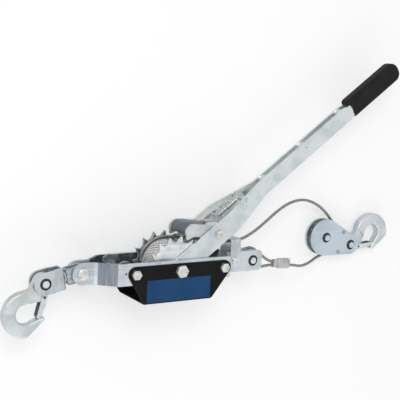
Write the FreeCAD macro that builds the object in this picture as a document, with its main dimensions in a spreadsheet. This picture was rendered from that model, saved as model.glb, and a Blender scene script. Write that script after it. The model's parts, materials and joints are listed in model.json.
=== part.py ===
import FreeCAD, Part
import math
import os
from FreeCAD import Placement, Rotation, Vector

# A hand-operated come along winch, lying on the ends of its three bolts.
# X runs along the pull, Y is the side that the lever stands on, Z is up along the axle.
doc = FreeCAD.newDocument("come_along")
sheet = doc.addObject("Spreadsheet::Sheet", "sizes")

driving = {
    "mid_height": 50.0,
    "plate_width": 32.0,
    "plate_thickness": 4.5,
    "plate_outer": 39.0,
    "ear_outer": 13.5,
    "left_pin_x": -144.0,
    "left_pin_y": 0.5,
    "right_pin_x": 143.5,
    "corner_x": 74.0,
    "cover_thickness": 2.0,
    "cover_bottom": -46.3,
    "label_length": 106.0,
    "label_width": 33.2,
    "label_thickness": 0.3,
    "axle_radius": 5.0,
    "axle_flats": 17.0,
    "axle_head": 6.4,
    "axle_nut_height": 8.0,
    "corner_radius": 4.0,
    "corner_flats": 13.0,
    "corner_head": 5.3,
    "corner_nut_height": 6.5,
    "spacer_radius": 6.5,
    "pin_radius": 5.0,
    "ring_radius": 8.3,
    "wheel_teeth": 16.0,
    "wheel_tip": 49.6,
    "wheel_root": 40.8,
    "wheel_phase": 60.1,
    "wheel_inner": 24.0,
    "wheel_thickness": 5.0,
    "tube_radius": 18.0,
    "core_radius": 33.2,
    "rope_diameter": 5.0,
    "winding_radius": 35.8,
    "winding_pitch": 5.45,
    "winding_turns": 7.5,
    "lever_angle": 36.3,
    "bar_width": 32.0,
    "bar_thickness": 4.0,
    "bar_outer": 33.9,
    "bar_gap": 12.0,
    "grip_start": 399.0,
    "grip_end": 517.0,
    "grip_width": 32.0,
    "grip_thickness": 24.0,
    "pawl_bolt_reach": 83.5,
    "spool_radius": 14.7,
    "eye_radius": 17.5,
    "ferrule_length": 32.0,
    "ferrule_height": 17.0,
    "ferrule_thickness": 10.0,
    "sheave_x": 318.2,
    "sheave_y": 18.0,
    "sheave_drop": 38.0,
    "sheave_rope_radius": 29.5,
    "sheave_width": 11.0,
    "block_plate": 3.5,
    "block_outer": 9.5,
    "block_big": 31.0,
    "block_small": 16.5,
    "hook_pin_x": 371.0,
    "hook_pin_y": 2.7,
    "pin_proud": 3.2,
    "link_angle": 190.2,
    "yoke_reach": 57.3,
    "hook_thickness": 15.0,
    "hook_eye_thickness": 11.0,
    "left_hook_angle": 240.0,
    "right_hook_angle": 20.0,
}
for row, (name, value) in enumerate(driving.items(), start=1):
    sheet.set(f"A{row}", name)
    sheet.set(f"B{row}", str(value))
    sheet.setAlias(f"B{row}", name)
doc.recompute()


def size(name):
    return float(sheet.get(name))


UP = Vector(0, 0, 1)
MID = Vector(0, 0, size("mid_height"))
through = 60.0
tiny = 1e-4
finished = []


def keep(item, label):
    """Names a finished sub-part, which gets a file of its own."""
    item.Label = label
    finished.append(item)
    return item


def feature(label, shape, placement=None):
    item = doc.addObject("Part::Feature", label)
    item.Shape = shape
    if placement:
        item.Placement = placement.multiply(shape.Placement)
    return keep(item, label)


def cylinder(label, radius, height, place):
    """A cylinder along Z whose radius and height are bound to the sheet."""
    item = doc.addObject("Part::Cylinder", label)
    item.setExpression("Radius", radius)
    item.setExpression("Height", height)
    item.Placement = Placement(place, Rotation())
    return item


def hexagon(label, flats, height, place):
    item = doc.addObject("Part::Prism", label)
    item.Polygon = 6
    item.setExpression("Circumradius", f"{flats} / sqrt(3)")
    item.setExpression("Height", height)
    item.Placement = Placement(place, Rotation())
    return item


def fused(label, pieces):
    item = doc.addObject("Part::MultiFuse", label)
    item.Shapes = pieces
    return item


def cut(label, base, tool):
    item = doc.addObject("Part::Cut", label)
    item.Base = base
    item.Tool = tool
    return item


def group(label, pieces):
    item = doc.addObject("Part::Compound", label)
    item.Links = pieces
    return keep(item, label)


# Outlines: circles joined by their tangents, counter-clockwise; a negative radius is a hollow
def polar(radius, degrees, height=0.0):
    angle = math.radians(degrees)
    return Vector(radius * math.cos(angle), radius * math.sin(angle), height)


def outline(circles):
    normals = []
    for (x0, y0, r0), (x1, y1, r1) in zip(circles, circles[1:] + circles[:1]):
        run = Vector(x1 - x0, y1 - y0, 0)
        heading = math.degrees(math.atan2(run.y, run.x))
        lean = math.degrees(math.asin(max(-1.0, min(1.0, (r0 - r1) / run.Length))))
        normals.append(heading - 90 + lean)
    edges = []
    ends = []
    for index, (x, y, radius) in enumerate(circles):
        start = normals[index - 1]
        sweep = (normals[index] - start) % 360
        if radius < 0 and sweep > 0:
            sweep -= 360
        points = [Vector(x, y, 0) + polar(radius, start + sweep * part) for part in (0, 0.5, 1)]
        ends.append((points[0], points[2]))
        if abs(radius) > tiny:
            edges.append([Part.Arc(*points).toShape()])
        else:
            edges.append([])
    wire = []
    for index, arc in enumerate(edges):
        wire += arc
        leave = ends[index][1]
        arrive = ends[(index + 1) % len(ends)][0]
        if leave.distanceToPoint(arrive) > tiny:
            wire.append(Part.LineSegment(leave, arrive).toShape())
    return Part.Face(Part.Wire(wire))


def slab(face, bottom, top):
    """A face in the XY plane raised into a plate between two heights about the mid plane."""
    lifted = face.copy()
    lifted.translate(MID + Vector(0, 0, bottom))
    return lifted.extrude(Vector(0, 0, top - bottom))


def disc(x, y, radius, bottom, top):
    return Part.makeCylinder(radius, top - bottom, MID + Vector(x, y, bottom))


def block(x0, x1, y0, y1, bottom, top):
    return Part.makeBox(x1 - x0, y1 - y0, top - bottom, MID + Vector(x0, y0, bottom))


def mirrored(shape):
    return shape.mirror(MID, UP)


# Bent straps and cords: straight runs joined by tangent arcs
def corner_arc(before, corner, after):
    """The arc that touches both runs at before and after, equally far from the corner."""
    inward = (before + after) * 0.5 - corner
    half_turn = math.pi / 2 - (before - corner).getAngle(after - corner) / 2
    radius = (before - corner).Length / math.tan(half_turn)
    depth = radius / math.cos(half_turn) - radius
    return Part.Arc(before, corner + inward.normalize() * depth, after).toShape()


def smooth_path(points, radii):
    """Edges along the points, with an arc of the given radius at each inner point."""
    edges = []
    here = points[0]
    for before, corner, after, radius in zip(points, points[1:], points[2:], radii):
        half_turn = (corner - before).getAngle(after - corner) / 2
        reach = radius * math.tan(half_turn)
        enter = corner + (before - corner).normalize() * reach
        leave = corner + (after - corner).normalize() * reach
        if here.distanceToPoint(enter) > tiny:
            edges.append(Part.LineSegment(here, enter).toShape())
        edges.append(corner_arc(enter, corner, leave))
        here = leave
    edges.append(Part.LineSegment(here, points[-1]).toShape())
    return edges


def shifted(points, distance):
    """The line of points moved to its left, in the XY plane, with mitred corners."""
    normals = []
    for start, end in zip(points, points[1:]):
        run = (end - start).normalize()
        normals.append(Vector(-run.y, run.x, 0))
    moved = [points[0] + normals[0] * distance]
    for point, first, second in zip(points[1:], normals, normals[1:]):
        moved.append(point + (first + second) * (distance / (1 + first.dot(second))))
    moved.append(points[-1] + normals[-1] * distance)
    return moved


def strap(points, thickness, bend):
    """The section of a bent strap, from points on its middle line in the XY plane."""
    points = [Vector(x, y, 0) for x, y in points]
    sides = []
    for line in (points, points[::-1]):
        radii = []
        for before, corner, after in zip(line, line[1:], line[2:]):
            turn = (corner - before).cross(after - corner).z
            radii.append(bend - math.copysign(thickness / 2, turn))
        sides.append(smooth_path(shifted(line, thickness / 2), radii))
    first = Part.LineSegment(sides[0][-1].Vertexes[-1].Point, sides[1][0].Vertexes[0].Point)
    last = Part.LineSegment(sides[1][-1].Vertexes[-1].Point, sides[0][0].Vertexes[0].Point)
    return Part.Face(Part.Wire(sides[0] + [first.toShape()] + sides[1] + [last.toShape()]))


def standing(face, half_width):
    """A section drawn with height as its second axis, drawn out along Y to both sides."""
    face.rotate(Vector(), Vector(1, 0, 0), 90)
    face.translate(MID + Vector(0, half_width, 0))
    return face.extrude(Vector(0, -2 * half_width, 0))


def crossing(face, half_length):
    """A section drawn as (Y, height), drawn out along X to both sides."""
    face.rotate(Vector(), Vector(0, 0, 1), 90)
    face.rotate(Vector(), Vector(0, 1, 0), 90)
    face.translate(MID + Vector(-half_length, 0, 0))
    return face.extrude(Vector(2 * half_length, 0, 0))


# Frame: two bent side plates
plate = size("plate_thickness")
plate_outer = size("plate_outer")
ear_outer = size("ear_outer")
half_plate = size("plate_width") / 2
left_pin = Vector(size("left_pin_x"), size("left_pin_y"), 0)
right_pin = Vector(size("right_pin_x"), 0, 0)
corner_x = size("corner_x")
pin = size("pin_radius")
ring = size("ring_radius")
ring_floor = 0.8
main_line = plate_outer - plate / 2
ear_line = ear_outer - plate / 2
plate_bend = 4.0
plate_left = -165.0
plate_right = 160.0
left_jog = (-127.0, -99.0)
right_jog = (84.5, 97.0)
hole_play = 0.1
spring_hole = Vector(-88.7, 1.9, 0)
spring_hole_radius = 1.6
plate_corner = 6.0


def counterbore(place, face_height, thickness):
    """The wide hole round a pin, down from a face that looks up to a thin floor."""
    low = MID + place + Vector(0, 0, face_height - thickness + ring_floor)
    return Part.makeCylinder(ring, thickness - ring_floor, low)


def near_plate():
    line = [(plate_left, ear_line), (left_jog[0], ear_line), (left_jog[1], main_line)]
    line += [(right_jog[0], main_line), (right_jog[1], ear_line), (plate_right, ear_line)]
    bar = standing(strap(line, plate, plate_bend), half_plate)
    edge = half_plate - plate_corner
    corners = [(plate_right - plate_corner, side, plate_corner) for side in (-edge, edge)]
    rounded = outline([(left_pin.x, 0, half_plate)] + corners)
    bar = bar.common(slab(rounded, 0, through))
    holes = [disc(left_pin.x, left_pin.y, pin + hole_play, 0, through)]
    holes.append(disc(right_pin.x, 0, pin + hole_play, 0, through))
    holes.append(counterbore(right_pin, ear_outer, plate))
    holes.append(disc(0, 0, size("axle_radius") + hole_play, 0, through))
    for x in (-corner_x, corner_x):
        holes.append(disc(x, 0, size("corner_radius") + hole_play, 0, through))
    holes.append(disc(spring_hole.x, spring_hole.y, spring_hole_radius, 0, through))
    holes.append(disc(screw_x, screw_y, screw_radius + hole_play, 0, through))
    return bar.cut(holes).removeSplitter()


# The strap over the rope on the right ears, and its screws
guide_left = 100.0
guide_right = 118.0
guide_strap = 2.5
guide_top = 37.5
guide_foot = -8.0
screw_x = 109.0
screw_y = 3.2
screw_radius = 3.0
screw_head = 2.5
screw_head_radius = 5.0
head_round = 1.5
guide_bend = 4.0


def cable_guide():
    side = ear_outer + guide_strap / 2
    top = guide_top - guide_strap / 2
    line = [(guide_foot, side), (top, side), (top, -side), (guide_foot, -side)]
    arch = crossing(strap(line, guide_strap, guide_bend), (guide_right - guide_left) / 2)
    arch.translate(Vector((guide_left + guide_right) / 2, 0, 0))
    hole = disc(screw_x, screw_y, screw_radius + hole_play, -through, through)
    return arch.cut(hole)


def guide_screws():
    outer = ear_outer + guide_strap
    shank = disc(screw_x, screw_y, screw_radius, ear_outer - plate - 1, outer)
    head = disc(screw_x, screw_y, screw_head_radius, outer, outer + screw_head)
    rim = [edge for edge in head.Edges if edge.BoundBox.ZMin > head.BoundBox.ZMax - 0.1]
    screw = shank.fuse(head.makeFillet(head_round, rim[:1])).removeSplitter()
    return Part.makeCompound([screw, mirrored(screw)])


feature("near_side_plate", near_plate())
feature("far_side_plate", mirrored(near_plate()))
feature("cable_guide", cable_guide())
feature("guide_screws", guide_screws())


# The folded sheet round the ratchet, open at both ends
cover_sheet = size("cover_thickness")
cover_floor = size("cover_bottom")
cover_top_radius = 11.5
cover_corner = 3.0
cover_left = -61.0
cover_right = 54.0
tooth_window = (-27.0, 27.0, 21.5, 31.5)
cover_high = 20.0
cover_reach = 100.0
cover_bend = 2.5
label_left = -55.8
label_low = -43.4


def guard_cover():
    wall = plate_outer + cover_sheet / 2
    low = cover_floor + cover_sheet / 2
    line = [(cover_high, wall), (low, wall), (low, -wall), (cover_high, -wall)]
    shell = crossing(strap(line, cover_sheet, cover_bend), cover_reach)
    inset = cover_floor + cover_corner
    circles = [(cover_left + cover_corner, inset, cover_corner)]
    circles.append((cover_right - cover_corner, inset, cover_corner))
    circles.append((corner_x, 0, cover_top_radius))
    circles.append((-corner_x, 0, cover_top_radius))
    shell = shell.common(slab(outline(circles), -through, through))
    left, right, inner, outer = tooth_window
    depth = 2 * cover_sheet
    window = block(left, right, cover_floor - depth, cover_floor + depth, inner, outer)
    holes = [window, mirrored(window), disc(0, 0, size("axle_radius") + hole_play, -through, through)]
    for x in (-corner_x, corner_x):
        holes.append(disc(x, 0, size("corner_radius") + hole_play, -through, through))
    return shell.cut(holes)


feature("guard_cover", guard_cover())
label = doc.addObject("Part::Box", "label_panel")
label.setExpression("Length", "sizes.label_length")
label.setExpression("Width", "sizes.label_width")
label.setExpression("Height", "sizes.label_thickness")
label.Placement = Placement(Vector(label_left, label_low, 0), Rotation())
label.setExpression("Placement.Base.z", "sizes.mid_height + sizes.plate_outer + sizes.cover_thickness")
keep(label, "label_panel")


# Bolts stand on the floor with their threaded ends
def bolt(label, x, y, kind, seat, turn):
    shank = cylinder(f"{label}_shank", f"sizes.{kind}_radius", f"{seat} mm", Vector(x, y, 0))
    head = hexagon(f"{label}_head", f"sizes.{kind}_flats", f"sizes.{kind}_head", Vector(x, y, seat))
    head.Placement = Placement(Vector(x, y, seat), Rotation(UP, turn))
    return fused(label, [shank, head])


def nut(label, x, y, kind, top):
    height = size(f"{kind}_nut_height")
    place = Vector(x, y, top - height)
    body = hexagon(f"{label}_body", f"sizes.{kind}_flats", f"sizes.{kind}_nut_height", place)
    bore = cylinder(f"{label}_bore", f"sizes.{kind}_radius", f"sizes.{kind}_nut_height", place)
    return cut(label, body, bore)


def tube(label, radius, bore, bottom, top, x=0.0, y=0.0):
    """A tube along Z between two heights about the mid plane."""
    place = MID + Vector(x, y, bottom)
    outside = cylinder(f"{label}_outside", radius, f"{top - bottom} mm", place)
    inside = cylinder(f"{label}_inside", bore, f"{top - bottom} mm", place)
    return cut(label, outside, inside)


cover_face = plate_outer + cover_sheet
head_seat = MID.z + cover_face
nut_seat = MID.z - cover_face
axle_turn = 35.0
corner_turn = 28.0
keep(bolt("axle_bolt", 0, 0, "axle", head_seat, axle_turn), "axle_bolt")
keep(nut("axle_nut", 0, 0, "axle", nut_seat), "axle_nut")
sides = {"left": -corner_x, "right": corner_x}
group("corner_bolts", [bolt(f"{side}_corner_bolt", x, 0, "corner", head_seat, corner_turn)
                       for side, x in sides.items()])
group("corner_nuts", [nut(f"{side}_corner_nut", x, 0, "corner", nut_seat)
                      for side, x in sides.items()])
plate_inner = plate_outer - plate
spacer = tube("corner_spacer", "sizes.spacer_radius", "sizes.corner_radius + 0.2",
              -plate_inner, plate_inner, corner_x)
keep(spacer, "corner_spacer")


# Pins through the ears
ear_pin_head = 8.6
ear_pin_proud = 2.8
ear_pin_round = 1.8
spool_flange = 17.0
anchor_proud = 1.3


def left_ear_pin():
    shank = disc(left_pin.x, left_pin.y, pin, -ear_outer, ear_outer)
    head = disc(left_pin.x, left_pin.y, ear_pin_head, ear_outer, ear_outer + ear_pin_proud)
    rim = [edge for edge in head.Edges if edge.BoundBox.ZMin > head.BoundBox.ZMax - 0.1]
    head = head.makeFillet(ear_pin_round, rim[:1])
    return shank.fuse([head, mirrored(head)]).removeSplitter()


def anchor_spool():
    """A grooved bush on the right pin that the rope's eye lies round."""
    half = ear_outer - plate - 0.2
    groove = size("rope_diameter") / 2 + 0.5
    bush = disc(right_pin.x, 0, spool_flange, -half, half)
    hollow = disc(right_pin.x, 0, spool_flange + 1, -groove, groove)
    hollow = hollow.cut(disc(right_pin.x, 0, size("spool_radius"), -groove, groove))
    return bush.cut([hollow, disc(right_pin.x, 0, pin + hole_play, -half, half)])


feature("left_ear_pin", left_ear_pin())
anchor_height = f"{2 * (ear_outer + anchor_proud)} mm"
anchor_place = MID + right_pin - Vector(0, 0, ear_outer + anchor_proud)
keep(cylinder("anchor_pin", "sizes.pin_radius", anchor_height, anchor_place), "anchor_pin")
feature("anchor_spool", anchor_spool())


# Ratchet wheels: saw teeth whose steep flanks look clockwise
def ratchet_body(label, bottom):
    teeth = int(size("wheel_teeth"))
    pitch = 360 / teeth
    steep_lead = 3.6
    slope_lag = 9.5
    corners = []
    for tooth in range(teeth):
        tip = size("wheel_phase") + pitch * tooth
        corners.append(polar(size("wheel_root"), tip - steep_lead))
        corners.append(polar(size("wheel_tip"), tip))
        corners.append(polar(size("wheel_root"), tip + slope_lag))
    body = doc.addObject("PartDesign::Body", label)
    base = [plane for plane in body.Origin.OriginFeatures if plane.Role == "XY_Plane"][0]
    sketch = body.newObject("Sketcher::SketchObject", f"{label}_outline")
    sketch.AttachmentSupport = [(base, "")]
    sketch.MapMode = "FlatFace"
    sketch.AttachmentOffset = Placement(MID + Vector(0, 0, bottom), Rotation())
    for start, end in zip(corners, corners[1:] + corners[:1]):
        sketch.addGeometry(Part.LineSegment(start, end), False)
    sketch.addGeometry(Part.Circle(Vector(), UP, size("axle_radius") + hole_play), False)
    pad = body.newObject("PartDesign::Pad", f"{label}_pad")
    pad.Profile = sketch
    pad.setExpression("Length", "sizes.wheel_thickness")
    body.Tip = pad
    return keep(body, label)


wheel_inner = size("wheel_inner")
wheel_outer = wheel_inner + size("wheel_thickness")
ratchet_body("near_ratchet_wheel", wheel_inner)
ratchet_body("far_ratchet_wheel", -wheel_outer)
keep(tube("drum_tube", "sizes.tube_radius", "sizes.axle_radius + 0.1", -wheel_inner, wheel_inner),
     "drum_tube")
keep(tube("rope_core", "sizes.core_radius", "sizes.tube_radius", -wheel_inner + 0.2, wheel_inner - 0.2),
     "rope_core")


# Coils: a helix as two arcs to each quarter turn
def coil_corners(radius, pitch, turns, bottom, start_angle, hand=1):
    """Corner points of a helix up Z, with the distance from each to its arc's ends."""
    rise = pitch / (2 * math.pi)
    quarters = round(turns * 4)
    points = []
    headings = []
    for index in range(quarters + 1):
        angle = start_angle + 90 * index * hand
        height = bottom + pitch * index / 4
        points.append(polar(radius, angle, height))
        heading = polar(radius, angle + 90 * hand, rise)
        headings.append(heading.normalize())
    corners = [points[0]]
    for start, end, leave, arrive in zip(points, points[1:], headings, headings[1:]):
        chord = end - start
        both = leave + arrive
        spread = both.dot(both) - 4
        pull = chord.dot(both)
        reach = (pull - math.sqrt(pull * pull - spread * chord.dot(chord))) / spread
        corners += [start + leave * reach, end - arrive * reach]
    corners.append(points[-1])
    return corners, headings


def coil_edges(corners):
    """Arcs at the corners, each meeting the next halfway along the run between them."""
    edges = []
    here = corners[0]
    inner = corners[1:-1]
    for index, corner in enumerate(inner):
        last = index == len(inner) - 1
        after = corners[-1] if last else None
        if not last:
            run = inner[index + 1] - corner
            after = corner + run.normalize() * (corner - here).Length
        edges.append(corner_arc(here, corner, after))
        here = after
    return edges


def swept(edges, radius):
    """A round tube along the edges, as one solid."""
    path = Part.Wire(edges)
    start = edges[0].valueAt(edges[0].FirstParameter)
    heading = edges[0].tangentAt(edges[0].FirstParameter)
    ring_edge = Part.Circle(start, heading, radius).toShape()
    return path.makePipeShell([Part.Wire([ring_edge])], True, False)


def least_gap(path, radius, apart):
    """The least clear distance of a tube to itself, on points more than apart along it."""
    points = []
    along = []
    travelled = 0.0
    for edge in path:
        count = max(3, int(edge.Length / radius))
        for index in range(count):
            share = index / count
            span = edge.LastParameter - edge.FirstParameter
            points.append(edge.valueAt(edge.FirstParameter + span * share))
            along.append(travelled + edge.Length * share)
        travelled += edge.Length
    least = 1e9
    for first in range(len(points)):
        for second in range(first + 1, len(points)):
            if along[second] - along[first] > apart:
                least = min(least, points[first].distanceToPoint(points[second]))
    return least - 2 * radius


def straight_end(point, heading, length):
    return Part.LineSegment(point, point + heading * length).toShape()


rope = size("rope_diameter") / 2
mean_turn = 2 * math.pi * size("winding_radius")
winding_start = 185.0


def rope_winding():
    turns = size("winding_turns")
    pitch = size("winding_pitch")
    bottom = -pitch * turns / 2
    corners, headings = coil_corners(size("winding_radius"), pitch, turns, bottom, winding_start)
    corners = [corner + MID for corner in corners]
    lead = corners[0] - headings[0] * (2 * rope)
    edges = [Part.LineSegment(lead, corners[0]).toShape()]
    edges += coil_edges(corners)
    edges.append(straight_end(corners[-1], headings[-1], 2 * rope))
    print("winding least gap", round(least_gap(edges, rope, mean_turn * 0.5), 3))
    return swept(edges, rope)


feature("rope_winding", rope_winding())


# The free rope: its eye round the anchor, the line round the sheave, the last wrap on the drum
sheave = Vector(size("sheave_x"), size("sheave_y"), -size("sheave_drop"))
ferrule_left = Vector(190.0, -10.5, 0)
ferrule_axis = Vector(32.0, -2.3, 0).normalize()
ferrule_side = Vector(-ferrule_axis.y, ferrule_axis.x, 0)
ferrule_right = ferrule_left + ferrule_axis * size("ferrule_length")
strand = 2.8
drum_wrap = 41.1
drum_wrap_height = -17.0
wrap_start = 83.5
wrap_end = 160.0
sheave_in = -75.3
sheave_out = 39.4
sheave_lead = 17.0
sheave_trail = 9.0
drum_lead = 12.0
eye_entry = 25.0
eye_exit = 40.0
run_share = 0.45


def wrap_corners(centre, radius, start, end):
    """Two corners whose arcs of that radius join halfway round."""
    quarter = (end - start) / 4
    reach = radius / math.cos(math.radians(quarter))
    return [centre + polar(reach, start + quarter), centre + polar(reach, end - quarter)]


def rope_path():
    eye = size("eye_radius")
    sheave_radius = size("sheave_rope_radius")
    upper = ferrule_side * strand
    mouth = 7.0
    dead_end = ferrule_right + upper + ferrule_axis * 1.5
    upper_turn = ferrule_left + upper - ferrule_axis * mouth
    lower_turn = ferrule_left - upper - ferrule_axis * mouth
    tangents = []
    for turn, side in ((upper_turn, 1), (lower_turn, -1)):
        away = turn - right_pin
        lean = math.degrees(math.acos(eye / away.Length))
        tangents.append(math.degrees(math.atan2(away.y, away.x)) + side * lean)
    first, last = tangents
    third = (last + 360 - first) / 6
    reach = eye / math.cos(math.radians(third))
    eye_corners = [right_pin + polar(reach, first + third * step) for step in (1, 3, 5)]
    points = [dead_end, upper_turn] + eye_corners + [lower_turn]
    radii = [eye_entry, eye, eye, eye, eye_exit]
    free = [ferrule_right - upper + ferrule_axis * mouth, Vector(254.0, -23.0, -11.0)]
    free.append(Vector(282.0, -22.6, -26.0))
    enter = sheave + polar(sheave_radius, sheave_in)
    free.append(enter - polar(sheave_lead, sheave_in + 90))
    points += free
    points += wrap_corners(sheave, sheave_radius, sheave_in, sheave_out)
    leave = sheave + polar(sheave_radius, sheave_out)
    back = [leave + polar(sheave_trail, sheave_out + 90), Vector(316.5, 62.5, -35.0)]
    back += [Vector(292.6, 77.9, -32.0), Vector(264.5, 86.2, -28.0), Vector(234.0, 83.0, -22.5)]
    back += [Vector(206.0, 70.8, -17.0), Vector(180.5, 55.0, -12.0), Vector(156.9, 41.8, -7.0)]
    back += [Vector(131.5, 32.0, -2.5), Vector(108.0, 29.1, 0.0)]
    touch = polar(drum_wrap, wrap_start, drum_wrap_height)
    back.append(touch - polar(drum_lead, wrap_start + 90))
    points += back
    points += wrap_corners(Vector(0, 0, drum_wrap_height), drum_wrap, wrap_start, wrap_end)
    points.append(polar(drum_wrap, wrap_end, drum_wrap_height) + polar(0.5, wrap_end + 90))
    wrap_at = {6 + len(free), 7 + len(free)}
    fixed = {index: sheave_radius for index in wrap_at}
    fixed.update({len(points) - 3: drum_wrap, len(points) - 2: drum_wrap})
    for index in range(6, len(points) - 1):
        if index in fixed:
            radii.append(fixed[index])
            continue
        before, corner, after = points[index - 1:index + 2]
        half_turn = (corner - before).getAngle(after - corner) / 2
        runs = [(corner - before).Length, (after - corner).Length]
        if index + 1 in fixed:
            runs[1] = sheave_lead if index + 1 in wrap_at else drum_lead
        if index - 1 in fixed:
            runs[0] = sheave_trail
        if index == 6:
            runs[0] = 2 * mouth
        radii.append(run_share * min(runs) / math.tan(half_turn))
    return [point + MID for point in points], radii


def free_rope():
    points, radii = rope_path()
    print("rope radii", [round(radius, 1) for radius in radii])
    edges = smooth_path(points, radii)
    solid = swept(edges, rope)
    length = sum(edge.Length for edge in edges)
    print("rope length", round(length, 1), "volume ratio", solid.Volume / (math.pi * rope**2 * length))
    return solid


def rope_ferrule():
    """A pressed oval sleeve with a bore for each strand."""
    length = size("ferrule_length")
    collar = 9.0
    squeeze = 0.8
    end_round = 2.2
    pieces = []
    for start, end, narrower in ((0, collar, squeeze), (collar, length, 0)):
        half_height = size("ferrule_height") / 2 - 2 * narrower
        half_thick = size("ferrule_thickness") / 2 - narrower
        core = half_height - half_thick
        section = outline([(0, -core, half_thick), (0, core, half_thick)])
        section.rotate(Vector(), Vector(0, 1, 0), 90)
        section.translate(Vector(start, 0, 0))
        pieces.append(section.extrude(Vector(end - start, 0, 0)))
    rims = [edge for edge in pieces[1].Edges if edge.BoundBox.XLength < 0.01]
    sleeve = pieces[1].makeFillet(end_round, rims).fuse(pieces[0])
    for side in (-strand, strand):
        bore = Part.makeCylinder(rope + 0.05, length, Vector(0, side, 0), Vector(1, 0, 0))
        sleeve = sleeve.cut(bore)
    sleeve.rotate(Vector(), UP, math.degrees(math.atan2(ferrule_axis.y, ferrule_axis.x)))
    sleeve.translate(MID + ferrule_left)
    return sleeve


feature("free_rope", free_rope())
feature("rope_ferrule", rope_ferrule())

# The lever is drawn with its length along X and then turned about the axle
lever_turn = Placement(Vector(), Rotation(UP, size("lever_angle")))
bar = size("bar_thickness")
bar_outer = size("bar_outer")
half_bar = size("bar_width") / 2
half_gap = size("bar_gap") / 2
bolt_reach = size("pawl_bolt_reach")
jog_start = 118.0
jog_end = 195.0
tang_start = 396.0
tang_end = 506.0
bar_low = -14.2
bar_high = 10.2
tang_low = -12.0
tang_high = 8.0
tang_edge = 3.0
bar_edge = 3.0
bar_end = 5.0
bar_bend = 8.0
waist_radius = 20.0
rivet_line = 1.5
rivet_places = (209.5, 296.5, 385.5)
rivet = 2.8
rivet_play = 0.05
rivet_head = 3.7
rivet_proud = 0.7
bar_spacer = 7.5
spring_line = 9.0
spring_radius = 6.2
cross_pin = Vector(156.0, 7.0, 0)
cross_radius = 2.5
cross_half = 24.0
bolt_turn = 12.0
nut_turn = 40.0
thread_proud = 1.5


def near_bar():
    foot = bar_outer - bar / 2
    neck = half_gap + bar / 2
    line = [(-half_bar, foot), (jog_start, foot), (jog_end, neck), (tang_end, neck)]
    strip = standing(strap(line, bar, bar_bend), half_bar)
    shoulder = tang_start - bar_end
    wide = outline([(0, 0, half_bar), (jog_start, bar_edge - half_bar, bar_edge),
                    (jog_end, bar_low - waist_radius, -waist_radius),
                    (shoulder, bar_low + bar_end, bar_end), (shoulder, bar_high - bar_end, bar_end),
                    (jog_end, bar_high + waist_radius, -waist_radius),
                    (jog_start, half_bar - bar_edge, bar_edge)])
    tip = tang_end - tang_edge
    root = shoulder - bar_end
    narrow = outline([(root, tang_low + tang_edge, tang_edge), (tip, tang_low + tang_edge, tang_edge),
                      (tip, tang_high - tang_edge, tang_edge), (root, tang_high - tang_edge, tang_edge)])
    profile = slab(wide, 0, through).fuse(slab(narrow, 0, through))
    holes = [disc(0, 0, size("axle_radius") + hole_play, 0, through)]
    holes.append(disc(bolt_reach, 0, size("corner_radius") + hole_play, 0, through))
    holes.append(disc(cross_pin.x, cross_pin.y, cross_radius + hole_play, 0, through))
    for place in rivet_places:
        holes.append(disc(place, rivet_line, rivet + rivet_play, 0, through))
    return strip.common(profile).cut(holes).removeSplitter()


def lever_rivets():
    outer = half_gap + bar
    rivets = []
    for place in rivet_places:
        head = disc(place, rivet_line, rivet_head, outer, outer + rivet_proud)
        rim = [edge for edge in head.Edges if edge.BoundBox.ZMin > head.BoundBox.ZMax - 0.1]
        head = head.makeFillet(0.5, rim[:1])
        shank = disc(place, rivet_line, rivet, -outer, outer)
        rivets.append(shank.fuse([head, mirrored(head)]).removeSplitter())
    return Part.makeCompound(rivets)


def lever_spacers():
    return Part.makeCompound([
        disc(place, rivet_line, bar_spacer, -half_gap, half_gap).cut(
            disc(place, rivet_line, rivet + rivet_play, -half_gap, half_gap))
        for place in rivet_places])


def lever_grip():
    start = size("grip_start")
    end = size("grip_end")
    half_width = size("grip_width") / 2
    half_thick = size("grip_thickness") / 2
    tip = 14.0
    mouth = 6.0
    rim_round = 7.0
    mouth_centre = start - 12.0
    face = outline([(start + mouth, -half_width + mouth, mouth), (end - tip, -half_width + tip, tip),
                    (end - tip, half_width - tip, tip), (start + mouth, half_width - mouth, mouth)])
    handle = slab(face, -half_thick, half_thick)
    rims = [edge for edge in handle.Edges if edge.BoundBox.ZLength < 0.01]
    handle = handle.makeFillet(rim_round, rims)
    hollow = block(start - 1, tang_end, tang_low, tang_high, -half_gap - bar, half_gap + bar)
    shoulder = disc(mouth_centre, 0, half_bar, -half_thick, half_thick)
    return handle.cut([hollow, shoulder])


def pawl_bolt():
    """The drive pawl turns on this bolt through both bars."""
    seat = bar_outer
    reach = seat + size("corner_nut_height") + thread_proud
    face = [polar(size("corner_flats") / math.sqrt(3), 60 * step + bolt_turn) for step in range(7)]
    head = slab(Part.Face(Part.makePolygon(face)), seat, seat + size("corner_head"))
    bolt_shape = disc(0, 0, size("corner_radius"), -reach, seat).fuse(head)
    bolt_shape.translate(Vector(bolt_reach, 0, 0))
    return bolt_shape.removeSplitter()


def pawl_nut():
    height = size("corner_nut_height")
    face = [polar(size("corner_flats") / math.sqrt(3), 60 * step + nut_turn) for step in range(7)]
    body = slab(Part.Face(Part.makePolygon(face)), -bar_outer - height, -bar_outer)
    body = body.cut(disc(0, 0, size("corner_radius"), -bar_outer - height, -bar_outer))
    body.translate(Vector(bolt_reach, 0, 0))
    return body


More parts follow.
